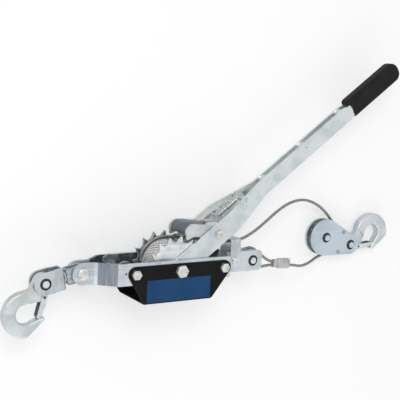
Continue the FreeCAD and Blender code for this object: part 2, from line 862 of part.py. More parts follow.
def drive_spring():
    """A compression spring along the lever, between the pawl's tail and the cross pin."""
    wire = 0.75
    start = 108.4
    end = 152.4
    turns = 13
    apart = 18.0
    pitch = (end - start - 2 * wire) / turns
    corners, headings = coil_corners(spring_radius, pitch, turns, start + wire, 90)
    lead = corners[0] - headings[0] * (2 * wire)
    edges = [Part.LineSegment(lead, corners[0]).toShape()]
    edges += coil_edges(corners)
    edges.append(straight_end(corners[-1], headings[-1], 2 * wire))
    print("drive spring least gap", round(least_gap(edges, wire, apart), 3))
    spring = swept(edges, wire)
    spring.rotate(Vector(), Vector(0, 1, 0), 90)
    spring.translate(MID + Vector(0, spring_line, 0))
    return spring


feature("near_lever_bar", near_bar(), lever_turn)
feature("far_lever_bar", mirrored(near_bar()), lever_turn)
feature("lever_rivets", lever_rivets(), lever_turn)
feature("lever_spacers", lever_spacers(), lever_turn)
feature("lever_grip", lever_grip(), lever_turn)
feature("pawl_bolt", pawl_bolt(), lever_turn)
feature("pawl_nut", pawl_nut(), lever_turn)
feature("spring_pin", disc(cross_pin.x, cross_pin.y, cross_radius, -cross_half, cross_half), lever_turn)
feature("drive_spring", drive_spring(), lever_turn)
sleeve_place = polar(bolt_reach, size("lever_angle"))
sleeve = tube("pawl_sleeve", "sizes.spacer_radius", "sizes.corner_radius + 0.1",
              -wheel_inner + 0.3, wheel_inner - 0.3, sleeve_place.x, sleeve_place.y)
keep(sleeve, "pawl_sleeve")


# The drive pawl: two arms joined by a curved web, with a tail for the spring
def drive_pawl():
    pivot = sleeve_place
    arm = outline([(15.3, 44.2, 1.2), (28.0, 39.2, -8.0), (44.0, 38.4, -8.0), (pivot.x, pivot.y, 10.0),
                   (50.0, 59.5, 4.5), (26.5, 52.6, 13.0)])
    bore = disc(pivot.x, pivot.y, size("corner_radius") + hole_play, -through, through)
    near = slab(arm, wheel_inner, wheel_outer)
    web_thickness = 4.0
    tail_thickness = 3.0
    tail_half = 6.5
    lip_start = 104.2
    lip_low = -1.0
    web_line = [(15.0, 50.5), (15.3, 59.0), (21.4, 64.2), (32.0, 64.4), (46.0, 61.8), (54.0, 60.4)]
    web = slab(strap(web_line, web_thickness, 6.0), -wheel_inner, wheel_inner)
    tail_line = [(50.0, 61.0), (60.0, 64.8), (82.5, 66.2)]
    tail = slab(strap(tail_line, tail_thickness, 5.0), -tail_half, tail_half)
    lip = block(lip_start, lip_start + tail_thickness, lip_low, half_bar, -tail_half, tail_half)
    lip.rotate(Vector(), UP, size("lever_angle"))
    pawl = near.fuse([mirrored(near), web, tail, lip])
    return pawl.cut(bore).removeSplitter()


# The holding pawl turns on the left corner bolt and rides on the tooth tips
pawl_hub = Vector(-corner_x, 0, 0)
spring_wire = 0.5


def holding_pawl():
    tail = Vector(-86.0, 5.0, 0)
    tail_radius = 13.0
    web_thickness = 3.5
    arm = outline([(-51.6, -13.9, 1.6), (pawl_hub.x, 0, 9.5), (tail.x, tail.y, tail_radius)])
    near = slab(arm, wheel_inner, wheel_outer)
    hollow = disc(tail.x, tail.y, tail_radius - web_thickness, -wheel_inner, wheel_inner)
    band = disc(tail.x, tail.y, tail_radius, -wheel_inner, wheel_inner).cut(hollow)
    band = band.common(block(-100, -84, -8, 9.5, -wheel_inner, wheel_inner))
    bore = disc(pawl_hub.x, 0, size("corner_radius") + hole_play, -through, through)
    catch = disc(catch_place.x, catch_place.y, spring_wire + 0.15, wheel_inner, wheel_outer)
    return near.fuse([mirrored(near), band]).cut([bore, catch]).removeSplitter()


coil_radius = 6.6
coil_start = 20.0
coil_turns = 2.25
coil_bottom = 29.9
coil_pitch = 1.42
catch_run = 6.0
catch_place = pawl_hub + polar(coil_radius, coil_start) - polar(catch_run, coil_start + 90)


def holding_spring():
    """A torsion spring with one leg in the side plate and one in the pawl."""
    corners, headings = coil_corners(coil_radius, coil_pitch, coil_turns, coil_bottom, coil_start)
    corners = [corner + MID + pawl_hub for corner in corners]
    bend = 1.3
    catch_depth = 4.5
    leg_run = 13.4
    leg_depth = 4.0
    apart = 25.0
    start_turn = corners[0] - headings[0] * catch_run
    start_end = start_turn - Vector(0, 0, catch_depth)
    end_turn = corners[-1] + headings[-1] * leg_run
    end_end = end_turn + Vector(0, 0, leg_depth)
    lead = smooth_path([start_end, start_turn, corners[0]], [bend])
    tail = smooth_path([corners[-1], end_turn, end_end], [bend])
    edges = lead + coil_edges(corners) + tail
    print("holding spring least gap", round(least_gap(edges, spring_wire, apart), 3))
    return swept(edges, spring_wire)


feature("drive_pawl", drive_pawl())
feature("holding_pawl", holding_pawl())
feature("holding_spring", holding_spring())

# The hook's link and yoke are drawn with the pull along X from the ear pin, then turned
chain_turn = Placement(Vector(left_pin), Rotation(UP, size("link_angle")))
yoke_reach = size("yoke_reach")


def swivel_link():
    """A U strap between the left ears, with the swivel rivet's hole in its base."""
    wall = ear_outer - plate - 0.3
    thick = 3.0
    line = [(-12.0, wall - thick / 2), (24.0 - thick / 2, wall - thick / 2)]
    line += [(x, -height) for x, height in line[::-1]]
    bent = standing(strap(line, thick, 3.0), 12.0)
    bent = bent.common(slab(outline([(0, 0, 12.0), (20, -8, 4), (20, 8, 4)]), -through, through))
    bore = disc(0, 0, pin + hole_play, -through, through)
    hole = Part.makeCylinder(4.1, 20, MID + Vector(10, 0, 0), Vector(1, 0, 0))
    return bent.cut([bore, hole]).removeSplitter()


def swivel_rivet():
    """The swivel's shank with a head inside the link and a head inside the yoke."""
    along = Vector(1, 0, 0)
    shank = Part.makeCylinder(4.0, 16.0, MID + Vector(17.6, 0, 0), along)
    inner_head = Part.makeCylinder(4.9, 3.0, MID + Vector(17.7, 0, 0), along)
    outer_head = Part.makeCylinder(6.0, 3.2, MID + Vector(30.4, 0, 0), along)
    return shank.fuse([inner_head, outer_head]).removeSplitter()


def swivel_washer():
    along = Vector(1, 0, 0)
    washer = Part.makeCylinder(8.5, 2.0, MID + Vector(24.1, 0, 0), along)
    return washer.cut(Part.makeCylinder(4.1, 2.0, MID + Vector(24.1, 0, 0), along))


def hook_yoke():
    """A wide U strap whose ears step out to the pin of the hook."""
    thick = 4.0
    ear = ear_outer - thick / 2
    base = ear - 2.2
    line = [(yoke_reach + half_plate, ear), (43.0, ear), (37.0, base), (26.3 + thick / 2, base)]
    line += [(x, -height) for x, height in line[::-1]]
    bent = standing(strap(line, thick, 3.2), half_plate)
    shape = outline([(29.3, -half_plate + 3, 3), (yoke_reach, 0, half_plate), (29.3, half_plate - 3, 3)])
    bent = bent.common(slab(shape, -through, through))
    place = Vector(yoke_reach, 0, 0)
    holes = [disc(yoke_reach, 0, pin + hole_play, -through, through), counterbore(place, ear_outer, thick)]
    holes.append(mirrored(holes[1]))
    holes.append(Part.makeCylinder(4.02, 20, MID + Vector(22, 0, 0), Vector(1, 0, 0)))
    return bent.cut(holes).removeSplitter()


feature("swivel_link", swivel_link(), chain_turn)
feature("swivel_rivet", swivel_rivet(), chain_turn)
feature("swivel_washer", swivel_washer(), chain_turn)
feature("hook_yoke", hook_yoke(), chain_turn)
yoke_pin_end = ear_outer + 1.3
feature("yoke_pin", disc(yoke_reach, 0, pin, -yoke_pin_end, yoke_pin_end), chain_turn)


# Hooks, drawn with the eye at the origin and the bowl along X
lug = Vector(17.2, 11.3, 0)
thin_reach = 31.5
latch_pin_radius = 2.0


def hook_shape():
    half = size("hook_thickness") / 2
    eye_half = size("hook_eye_thickness") / 2
    bowl = Vector(51.0, -0.6, 0)
    bowl_radius = 33.4
    shoulder_radius = 5.8
    shoulder = bowl + polar(bowl_radius - shoulder_radius, 29.6)
    face = outline([(0, 0, 14.0), (14.2, -21.4, -8.0), (bowl.x, bowl.y, bowl_radius),
                    (shoulder.x, shoulder.y, shoulder_radius), (45.2, 25.0, 3.3), (50.0, -1.0, -14.5),
                    (lug.x, lug.y, 5.0)])
    forged = slab(face, -half, half)
    rims = [edge for edge in forged.Edges if edge.BoundBox.ZLength < 0.01]
    forged = forged.makeFillet(3.0, rims)
    thin = disc(0, 0, thin_reach, eye_half, half + 1)
    bores = [disc(0, 0, pin + hole_play, -through, through)]
    bores.append(disc(lug.x, lug.y, latch_pin_radius + hole_play, -through, through))
    return forged.cut([thin, mirrored(thin)] + bores).removeSplitter()


def latch_shape():
    """A folded sheet channel over the lug that closes the hook's mouth."""
    inner = size("hook_eye_thickness") / 2 + 0.3
    sheet_half = 1.2
    outer = inner + sheet_half
    tip = lug + polar(29.2, 12.0)
    side = outline([(lug.x, lug.y, 3.6), (tip.x, tip.y, 2.0), (tip.x - 1, tip.y + 2.2, 1.0),
                    (lug.x + 8.6, lug.y + 5.2, 2.0)])
    solid = slab(side, -outer, outer)
    under = outline([(lug.x - 8, lug.y - 10, 0.5), (tip.x - 1, lug.y - 10, 0.5),
                     (tip.x - 1.6, tip.y + 1.2, 0.5), (lug.x + 8.4, lug.y + 5.4, 0.5)])
    room = slab(under, -inner, inner)
    clear = disc(lug.x, lug.y, 8.5, -inner, inner)
    bore = disc(lug.x, lug.y, latch_pin_radius + hole_play, -through, through)
    return solid.cut([room, clear, bore]).removeSplitter()


def latch_pin():
    half = size("hook_eye_thickness") / 2 + 2.1
    return disc(lug.x, lug.y, latch_pin_radius, -half, half)


def hook_set(side, place, flipped):
    for name, shape in (("hook", hook_shape()), ("latch", latch_shape()), ("latch_pin", latch_pin())):
        if flipped:
            shape = shape.mirror(Vector(), Vector(0, 1, 0))
        feature(f"{side}_{name}", shape, place)


left_eye = left_pin + polar(yoke_reach, size("link_angle"))
right_eye = Vector(size("hook_pin_x"), size("hook_pin_y"), -size("sheave_drop"))
hook_set("left", Placement(left_eye, Rotation(UP, size("left_hook_angle"))), False)
hook_set("right", Placement(right_eye, Rotation(UP, size("right_hook_angle"))), True)


# The pulley block: two plates, the sheave and its pin, and the pin of the right hook
block_outer = size("block_outer")
block_inner = block_outer - size("block_plate")
block_axis = (right_eye - sheave).normalize()
block_side = Vector(-block_axis.y, block_axis.x, 0)
guard_reach = 33.0
guard_side = 17.5
guard_places = [sheave + block_axis * guard_reach + block_side * side for side in (guard_side, -guard_side)]
drop = -size("sheave_drop")
guard_rivet = 2.5
guard_spacer = 4.0


def near_block_plate():
    big = (sheave.x, sheave.y, size("block_big"))
    small = (right_eye.x, right_eye.y, size("block_small"))
    face = outline([big, small])
    plate_shape = slab(face, drop + block_inner, drop + block_outer)
    holes = [disc(place.x, place.y, pin + hole_play, -through, through) for place in (sheave, right_eye)]
    for place in (sheave, right_eye):
        flat = Vector(place.x, place.y, 0)
        holes.append(counterbore(flat, drop + block_outer, size("block_plate")))
    holes += [disc(place.x, place.y, guard_rivet + rivet_play, -through, through) for place in guard_places]
    return plate_shape.cut(holes)


def block_rivets():
    rivets = []
    for place in guard_places:
        shank = disc(place.x, place.y, guard_rivet, drop - block_outer, drop + block_outer)
        head = disc(place.x, place.y, rivet_head, drop + block_outer, drop + block_outer + rivet_proud)
        low_head = head.mirror(MID + sheave, UP)
        rivets.append(shank.fuse([head, low_head]).removeSplitter())
    return Part.makeCompound(rivets)


def block_spacers():
    return Part.makeCompound([
        disc(place.x, place.y, guard_spacer, drop - block_inner, drop + block_inner).cut(
            disc(place.x, place.y, guard_rivet + rivet_play, drop - block_inner, drop + block_inner))
        for place in guard_places])


def sheave_wheel():
    half = size("sheave_width") / 2
    rope_circle = size("sheave_rope_radius")
    wheel = disc(sheave.x, sheave.y, rope_circle, drop - half, drop + half)
    groove = Part.makeTorus(rope_circle, rope + 0.3, MID + sheave)
    web_outer = 22.0
    web_inner = 9.0
    web_depth = 1.5
    recess = disc(sheave.x, sheave.y, web_outer, drop + half - web_depth, drop + half)
    recess = recess.cut(disc(sheave.x, sheave.y, web_inner, drop + half - web_depth, drop + half))
    low_recess = recess.mirror(MID + sheave, UP)
    bore = disc(sheave.x, sheave.y, pin + hole_play, drop - half, drop + half)
    return wheel.cut([groove, recess, low_recess, bore])


feature("near_block_plate", near_block_plate())
feature("far_block_plate", near_block_plate().mirror(MID + sheave, UP))
feature("block_rivets", block_rivets())
feature("block_spacers", block_spacers())
feature("sheave", sheave_wheel())
proud = size("pin_proud")
for name, place in (("sheave_pin", sheave), ("block_hook_pin", right_eye)):
    low = MID + Vector(place.x, place.y, drop - block_outer - proud)
    keep(cylinder(name, "sizes.pin_radius", "2 * (sizes.block_outer + sizes.pin_proud)", low), name)

doc.recompute()

# Every object must be sound before any file is written
for item in doc.Objects:
    states = set(item.State)
    if states & {"Invalid", "Error"}:
        raise RuntimeError(f"{item.Label}: {item.State}")
for item in finished:
    if item.Shape.isNull() or not item.Shape.isValid():
        raise RuntimeError(f"{item.Label}: no valid shape")

os.makedirs("parts", exist_ok=True)
for item in finished:
    item.Shape.exportStep(f"parts/{item.Label}.step")
    print(item.Label, len(item.Shape.Solids), round(item.Shape.Volume))
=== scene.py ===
import json
import math

import bmesh
import bpy
from mathutils import Matrix, Vector

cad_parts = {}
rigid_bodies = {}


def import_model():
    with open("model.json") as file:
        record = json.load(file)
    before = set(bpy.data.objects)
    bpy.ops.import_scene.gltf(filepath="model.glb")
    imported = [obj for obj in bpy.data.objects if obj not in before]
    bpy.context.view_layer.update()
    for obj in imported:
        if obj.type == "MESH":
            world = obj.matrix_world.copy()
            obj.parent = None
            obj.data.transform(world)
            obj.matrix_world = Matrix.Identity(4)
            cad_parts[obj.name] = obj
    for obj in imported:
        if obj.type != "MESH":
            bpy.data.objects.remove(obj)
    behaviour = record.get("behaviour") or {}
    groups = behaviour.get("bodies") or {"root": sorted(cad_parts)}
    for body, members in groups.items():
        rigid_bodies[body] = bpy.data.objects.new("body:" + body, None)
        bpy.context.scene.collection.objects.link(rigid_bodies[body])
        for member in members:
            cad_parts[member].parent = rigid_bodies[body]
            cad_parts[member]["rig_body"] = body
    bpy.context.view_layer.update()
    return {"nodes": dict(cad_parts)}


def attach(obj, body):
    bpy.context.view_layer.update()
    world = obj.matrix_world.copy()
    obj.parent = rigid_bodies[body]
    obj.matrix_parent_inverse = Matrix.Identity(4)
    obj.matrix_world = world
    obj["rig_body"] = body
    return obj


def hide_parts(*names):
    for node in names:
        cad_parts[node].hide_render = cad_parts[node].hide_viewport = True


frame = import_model()
nodes = frame["nodes"]
mm = 0.001
leverDegrees = 36.3  # how far the lever leans from the frame's line
cornerReach = 74.0  # from the axle to each corner bolt, in millimetres
print("frame loaded, nodes:", len(nodes))

# Camera: the winch seen from above its near side, a little from the left
cameraLook = {
    "place": (-0.6967, 0.3233, 1.3185),
    "right": (0.8642, 0.0430, 0.5013),
    "up": (0.0394, 0.9875, -0.1525),
    "lens": 88.43,
    "sensor": 36.0,
    "sees": 20.0,
}


def addCamera(look):
    data = bpy.data.cameras.new("camera")
    data.lens = look["lens"]
    data.sensor_width = look["sensor"]
    data.clip_end = look["sees"]
    holder = bpy.data.objects.new("camera", data)
    right = Vector(look["right"]).normalized()
    up = (Vector(look["up"]) - right * right.dot(Vector(look["up"]))).normalized()
    turn = Matrix((right, up, right.cross(up))).transposed()
    holder.matrix_world = Matrix.Translation(look["place"]) @ turn.to_4x4()
    bpy.context.scene.collection.objects.link(holder)
    bpy.context.scene.camera = holder


addCamera(cameraLook)


# Shader maths: sockets that add, subtract and multiply as numbers do
class Signal:
    def __init__(self, finish, socket):
        self.finish = finish
        self.socket = socket

    def maths(self, operation, first, second):
        return self.finish.add("Math", {"operation": operation}, {0: first, 1: second})

    def __add__(self, other):
        return self.maths("ADD", self, other)

    def __sub__(self, other):
        return self.maths("SUBTRACT", self, other)

    def __rsub__(self, other):
        return self.maths("SUBTRACT", other, self)

    def __mul__(self, other):
        return self.maths("MULTIPLY", self, other)

    __radd__ = __add__
    __rmul__ = __mul__


class Finish:
    def __init__(self, tree):
        self.tree = tree

    def add(self, kind, settings, sockets, output=0):
        node = self.tree.nodes.new("ShaderNode" + kind)
        for name, value in settings.items():
            setattr(node, name, value)
        self.fill(node, sockets)
        return Signal(self, node.outputs[output])

    def fill(self, node, sockets):
        for name, value in sockets.items():
            if isinstance(value, Signal):
                self.tree.links.new(value.socket, node.inputs[name])
            else:
                node.inputs[name].default_value = value

    def noise(self, coords, scale, detail=3.0):
        return self.add("TexNoise", {}, {"Vector": coords, "Scale": scale, "Detail": detail})

    def band(self, value, low, high):  # 0 below low, 1 above high
        limits = {"Value": value, "From Min": low, "From Max": high}
        return self.add("MapRange", {"interpolation_type": "SMOOTHSTEP"}, limits)

    def mix(self, first, second, mask):
        return self.add("Mix", {"data_type": "RGBA"}, {0: mask, 6: first, 7: second}, 2)

    def sway(self, noise, size):  # a noise about its middle, size from end to end
        return (noise - 0.5) * size

    def stretch(self, coords, scale):
        return self.add("Mapping", {}, {"Vector": coords, "Scale": scale})

    def bump(self, height, distance):
        return self.add("Bump", {}, {"Height": height, "Distance": distance, "Strength": 1.0})


def newMaterial(name):
    material = bpy.data.materials.new(name)
    material.use_nodes = True
    finish = Finish(material.node_tree)
    coords = finish.add("TexCoord", {}, {}, "Object")
    return material, finish, coords, material.node_tree.nodes["Principled BSDF"]


def colour(red, green, blue):
    return (red, green, blue, 1.0)


# Metals: a pale plating with soft clouds, fine rolling lines and small pits
plating = {
    "pale": colour(0.60, 0.645, 0.68),
    "deep": colour(0.44, 0.485, 0.53),
    "stain": colour(0.50, 0.51, 0.50),
    "clouds": 26.0,
    "lines": (14.0, 260.0, 260.0),
    "lineShare": 0.3,
    "paleBand": (0.36, 0.58),
    "stains": 11.0,
    "stainBand": (0.56, 0.74),
    "pits": 900.0,
    "roughness": 0.30,
    "cloudRoughness": 0.22,
    "lineRoughness": 0.16,
    "metallic": 0.72,
    "relief": 0.00004,
    "shades": [],
}


def metal(name, **changes):
    look = {**plating, **changes}
    material, finish, coords, shader = newMaterial(name)
    clouds = finish.noise(coords, look["clouds"], 4.0)
    lines = finish.noise(finish.stretch(coords, look["lines"]), 1.0, 2.0)
    pits = finish.noise(coords, look["pits"], 2.0)
    stains = finish.noise(coords, look["stains"], 2.0)
    share = look["lineShare"]
    pale = finish.band(clouds * (1 - share) + lines * share, *look["paleBand"])
    base = finish.mix(look["deep"], look["pale"], pale)
    base = finish.mix(base, look["stain"], finish.band(stains, *look["stainBand"]))
    for makeShade in look["shades"]:
        tone, mask = makeShade(finish, coords, lines)
        base = finish.mix(base, tone, mask)
    sways = finish.sway(clouds, look["cloudRoughness"]) + finish.sway(lines, look["lineRoughness"])
    finish.fill(shader, {
        "Base Color": base,
        "Roughness": look["roughness"] + sways,
        "Metallic": look["metallic"],
        "Normal": finish.bump((lines + pits) * 0.5, look["relief"]),
    })
    return material


def within(finish, value, low, high, soft):
    return finish.band(value, low - soft, low) * (1 - finish.band(value, high, high + soft))


def axes(finish, coords):
    return [finish.add("SeparateXYZ", {}, {0: coords}, index) for index in range(3)]


# Painted shade and dull patches on the metals: each has a tone and gives a mask
# The left bends of the side plates: a painted reflection of dark surroundings, drawn across by the press
# in fine streaks
paintedBendReflectionLook = {
    "tone": colour(0.17, 0.20, 0.235), "from": -123 * mm, "to": -102 * mm, "soft": 1.5 * mm,
    "lines": (900.0, 18.0, 60.0), "lineBand": (0.35, 0.60), "lineShare": 0.22,
}


# painted reflection: the bends are darkened where they would mirror dark surroundings
def paintedBendReflection(finish, coords, lines):
    look = paintedBendReflectionLook
    along = axes(finish, coords)[0]
    drawn = finish.noise(finish.stretch(coords, look["lines"]), 1.0, 2.0)
    bend = within(finish, along, look["from"], look["to"], look["soft"])
    share = look["lineShare"]
    return look["tone"], bend * (1 - share + finish.band(drawn, *look["lineBand"]) * share)


# The far side plate's inner face, in the shade of the drum
innerPlateLook = {
    "tone": colour(0.085, 0.115, 0.13), "bottom": (15.0 * mm, 15.3 * mm), "top": (38 * mm, 40 * mm),
    "clouds": 45.0, "cloudBand": (0.25, 0.60),
}


def innerPlateShade(finish, coords, lines):
    look = innerPlateLook
    height = axes(finish, coords)[2]
    clouds = finish.noise(coords, look["clouds"])
    inner = finish.band(height, *look["bottom"]) * (1 - finish.band(height, *look["top"]))
    return look["tone"], inner * finish.band(clouds, *look["cloudBand"])


# Painted shade on the far bar's inner side: dark and greenish low down, pale along its upper edge
paintedInnerBarLook = {
    "tone": colour(0.13, 0.22, 0.22), "from": 20.0 * mm, "to": 43.7 * mm, "soft": 0.3 * mm,
    "lineBand": (0.30, 0.55), "rise": (3 * mm, 8 * mm), "reach": (168 * mm, 195 * mm),
}


# painted shade: the low part of the far bar's inner face is darkened
def paintedInnerBarShade(finish, coords, lines):
    look = paintedInnerBarLook
    along, across, height = axes(finish, coords)
    lever = polar(1.0, leverDegrees)
    reach = along * lever.x + across * lever.y
    rise = across * lever.x - along * lever.y
    inner = within(finish, height, look["from"], look["to"], look["soft"])
    low = (1 - finish.band(rise, *look["rise"])) * (1 - finish.band(reach, *look["reach"]))
    return look["tone"], inner * finish.band(lines, *look["lineBand"]) * low


# Painted shade on the drive pawl's web between its two cheeks
paintedWebLook = {
    "tone": colour(0.13, 0.155, 0.175), "from": 30.0 * mm, "to": 73.5 * mm, "soft": 0.4 * mm,
    "along": (56 * mm, 60 * mm),
}


# painted shade: the web between the cheeks is darkened
def paintedWebShade(finish, coords, lines):
    look = paintedWebLook
    along, across, height = axes(finish, coords)
    web = within(finish, height, look["from"], look["to"], look["soft"])
    return look["tone"], web * (1 - finish.band(along, *look["along"]))


# Painted shade on the latches' folded backs, making them darker than their cheeks
paintedLatchLook = {
    "tone": colour(0.15, 0.21, 0.21), "middles": (50 * mm, 12 * mm), "half": 5.7 * mm, "soft": 0.2 * mm,
}


# painted shade: the folded backs inside the channel are darkened
def paintedLatchShade(finish, coords, lines):
    look = paintedLatchLook
    height = axes(finish, coords)[2]
    backs = 0.0
    for middle in look["middles"]:
        low, high = middle - look["half"], middle + look["half"]
        backs = backs + within(finish, height, low, high, look["soft"])
    return look["tone"], backs


# Dull patches on the near toothed wheel
rustLook = {"tone": colour(0.36, 0.34, 0.29), "patches": 60.0, "patchBand": (0.62, 0.78)}


def rustShade(finish, coords, lines):
    patches = finish.noise(coords, rustLook["patches"], 4.0)
    return rustLook["tone"], finish.band(patches, *rustLook["patchBand"])


# Painted shadow in the wide holes round the pins: a dark ring
paintedHoleShadowLook = {"tone": colour(0.06, 0.068, 0.075), "edge": (8.2 * mm, 8.5 * mm)}


# painted shadow: a dark disc round each pin covers its hole
def paintedHoleShadow(pins):
    centres = [middleOf(pin) for pin in pins]

    def shade(finish, coords, lines):
        along, across, height = axes(finish, coords)
        rings = 0.0
        for centre in centres:
            offsets = [along - centre.x, across - centre.y]
            squares = offsets[0] * offsets[0] + offsets[1] * offsets[1]
            distance = squares.maths("POWER", squares, 0.5)
            rings = rings + (1 - finish.band(distance, *paintedHoleShadowLook["edge"]))
        return paintedHoleShadowLook["tone"], rings
    return shade


def polar(radius, degrees, height=0.0):
    angle = math.radians(degrees)
    return Vector((radius * math.cos(angle), radius * math.sin(angle), height))


def middleOf(node):
    corners = [Vector(corner) for corner in nodes[node].bound_box]
    return sum(corners, Vector()) / len(corners)


finishes = {
    "plate": metal("zincPlate", shades=[paintedBendReflection, paintedHoleShadow(["anchor_pin"])]),
    "farPlate": metal("zincFarPlate", shades=[paintedBendReflection, innerPlateShade]),
    "bar": metal("zincBar", lines=(30.0, 60.0, 160.0), pale=colour(0.66, 0.71, 0.72),
                 deep=colour(0.53, 0.59, 0.61)),
    # The far bar's plating is paler than the near bar's: a painted highlight on its upper edge, with
    # painted shade low on its inner side
    "farBar": metal("zincFarBarLitAndShaded", lines=(30.0, 60.0, 160.0), pale=colour(0.80, 0.84, 0.81),
                    deep=colour(0.66, 0.71, 0.68), shades=[paintedInnerBarShade]),
    "guide": metal("zincGuide", lines=(200.0, 14.0, 60.0), pale=colour(0.62, 0.67, 0.69)),
    "yoke": metal("zincYoke", lines=(300.0, 20.0, 60.0), pale=colour(0.55, 0.59, 0.63),
                  deep=colour(0.36, 0.40, 0.44), roughness=0.26, shades=[paintedHoleShadow(["yoke_pin"])]),
    "link": metal("zincLink", pale=colour(0.50, 0.54, 0.58), deep=colour(0.26, 0.29, 0.33)),
    "block": metal("zincBlock", pale=colour(0.54, 0.62, 0.68), deep=colour(0.45, 0.53, 0.59),
                   roughness=0.34, shades=[paintedHoleShadow(["sheave_pin", "block_hook_pin"])]),
    "wheel": metal("wheelSteel", pale=colour(0.76, 0.78, 0.78), deep=colour(0.52, 0.56, 0.58),
                   clouds=60.0, roughness=0.36, shades=[rustShade]),
    # The sheave's steel is painted nearly black: painted shade in the gap between the block plates
    "sheave": metal("sheaveInPaintedShade", pale=colour(0.20, 0.23, 0.24), deep=colour(0.05, 0.06, 0.07)),
    "spool": metal("spoolSteel", pale=colour(0.58, 0.61, 0.63), deep=colour(0.38, 0.41, 0.43)),
    "rivet": metal("rivetSteel", pale=colour(0.36, 0.41, 0.44), deep=colour(0.24, 0.28, 0.31)),
    # The far wheel is a darker copy of the near wheel's steel: painted shade
    "farWheel": metal("farWheelPaintedShade", pale=colour(0.33, 0.38, 0.39), deep=colour(0.15, 0.19, 0.20),
                      clouds=80.0, roughness=0.34),
    "pawl": metal("castPawl", pale=colour(0.66, 0.68, 0.68), deep=colour(0.50, 0.52, 0.53),
                  roughness=0.46, metallic=0.55, relief=0.0001, shades=[paintedWebShade]),
    "pin": metal("pinSteel", pale=colour(0.68, 0.71, 0.74), deep=colour(0.50, 0.54, 0.58),
                 roughness=0.2, metallic=0.85),
    "bolt": metal("yellowZinc", pale=colour(0.73, 0.73, 0.69), deep=colour(0.50, 0.50, 0.46),
                  stain=colour(0.62, 0.615, 0.55), clouds=120.0, roughness=0.3, metallic=0.65),
    "hook": metal("forgedHook", pale=colour(0.62, 0.66, 0.68), deep=colour(0.46, 0.51, 0.54),
                  stain=colour(0.55, 0.55, 0.52), clouds=40.0, lines=(70.0, 70.0, 70.0),
                  roughness=0.42, relief=0.00012),
    "latch": metal("latchSheet", pale=colour(0.72, 0.75, 0.74), deep=colour(0.58, 0.62, 0.62),
                   shades=[paintedLatchShade]),
    # The latch pins' dark steel is painted shade in their recessed ends
    "shadowDarkPin": metal("shadowDarkPin", pale=colour(0.16, 0.16, 0.15), deep=colour(0.07, 0.07, 0.07)),
    # The holding pawl's dark steel is painted shade, where it sits in the shadow of the side plates
    "holding": metal("holdingPawlPaintedShade", pale=colour(0.26, 0.30, 0.33), deep=colour(0.10, 0.13, 0.15),
                     clouds=60.0),
    "spring": metal("springSteel", pale=colour(0.76, 0.78, 0.76), deep=colour(0.50, 0.52, 0.50),
                    clouds=200.0, roughness=0.16, metallic=0.95),
    "ferrule": metal("ferruleAlloy", pale=colour(0.52, 0.52, 0.52), deep=colour(0.36, 0.36, 0.36),
                     clouds=90.0, roughness=0.38, metallic=0.6, relief=0.0001),
}


# Wire rope: grey strands, with painted shade in the grooves between them, spread patchily by grime
ropeLook = {
    "grimeAndGrooveShade": 70.0, "grimeAndGrooveShadeDepth": 0.5, "crownBand": (0.22, 0.88), "wires": 2400.0,
    "roughness": 0.34, "grooveRoughness": 0.3, "metallic": 0.6, "relief": 0.00006,
}


def ropeFinish(name, strand, grooveShade):
    look = ropeLook
    material, finish, coords, shader = newMaterial(name)
    crown = finish.add("Attribute", {"attribute_name": "crown"}, {}, "Fac")
    grimeAndGrooveShade = finish.sway(finish.noise(coords, look["grimeAndGrooveShade"], 4.0), look["grimeAndGrooveShadeDepth"])
    wires = finish.noise(coords, look["wires"], 1.0)
    finish.fill(shader, {
        # painted shade: the groove colour fills the low sides between strands
        "Base Color": finish.mix(grooveShade, strand, finish.band(crown + grimeAndGrooveShade, *look["crownBand"])),
        "Roughness": look["roughness"] + (1 - crown) * look["grooveRoughness"],
        "Metallic": look["metallic"],
        "Normal": finish.bump(wires, look["relief"]),
    })
    return material


finishes["rope"] = ropeFinish("wireRope", colour(0.45, 0.452, 0.44), colour(0.06, 0.06, 0.058))
# The wound rope's strands are painted far paler than the free rope's, and its grooves darker: painted
# highlight and shade on the drum
finishes["wound"] = ropeFinish("woundRopePaintedGlint", colour(0.86, 0.86, 0.85), colour(0.035, 0.035, 0.035))


# Black powder coat, the navy panel and the moulded rubber grip
coat = {"patchBand": (0.35, 0.68), "grainRoughness": 0.18}


def coated(name, look):
    material, finish, coords, shader = newMaterial(name)
    patches = finish.band(finish.noise(coords, look["patches"]), *coat["patchBand"])
    grain = finish.noise(coords, look["grain"], 2.0)
    finish.fill(shader, {
        "Base Color": finish.mix(look["dark"], look["light"], patches),
        "Roughness": look["roughness"] + finish.sway(grain, coat["grainRoughness"]),
        "Specular IOR Level": look["specular"],
        "Normal": finish.bump(grain, look["relief"]),
    })
    return material


finishes["cover"] = coated("blackPowderCoat", {
    "dark": colour(0.0035, 0.0035, 0.0038), "light": colour(0.0065, 0.0065, 0.007), "patches": 30.0,
    "grain": 1500.0, "roughness": 0.58, "specular": 0.13, "relief": 0.00008})
finishes["panel"] = coated("navyPanel", {
    "dark": colour(0.0125, 0.053, 0.145), "light": colour(0.0165, 0.067, 0.175), "patches": 24.0,
    "grain": 2200.0, "roughness": 0.5, "specular": 0.10, "relief": 0.00002})
finishes["grip"] = coated("gripRubber", {
    "dark": colour(0.0055, 0.0055, 0.006), "light": colour(0.011, 0.011, 0.011), "patches": 60.0,
    "grain": 700.0, "roughness": 0.6, "specular": 0.18, "relief": 0.0003})
print("finishes made:", len(finishes))


# Shared ways of making a piece
sharpFrom = {"cut": 30, "swept": 60}  # degrees between faces


def addPiece(name, mesh, finish, body, replaced=()):
    piece = bpy.data.objects.new(name, mesh)
    bpy.context.scene.collection.objects.link(piece)
    mesh.materials.clear()
    mesh.materials.append(finishes[finish])
    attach(piece, body)
    if replaced:
        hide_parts(*replaced)
    return piece


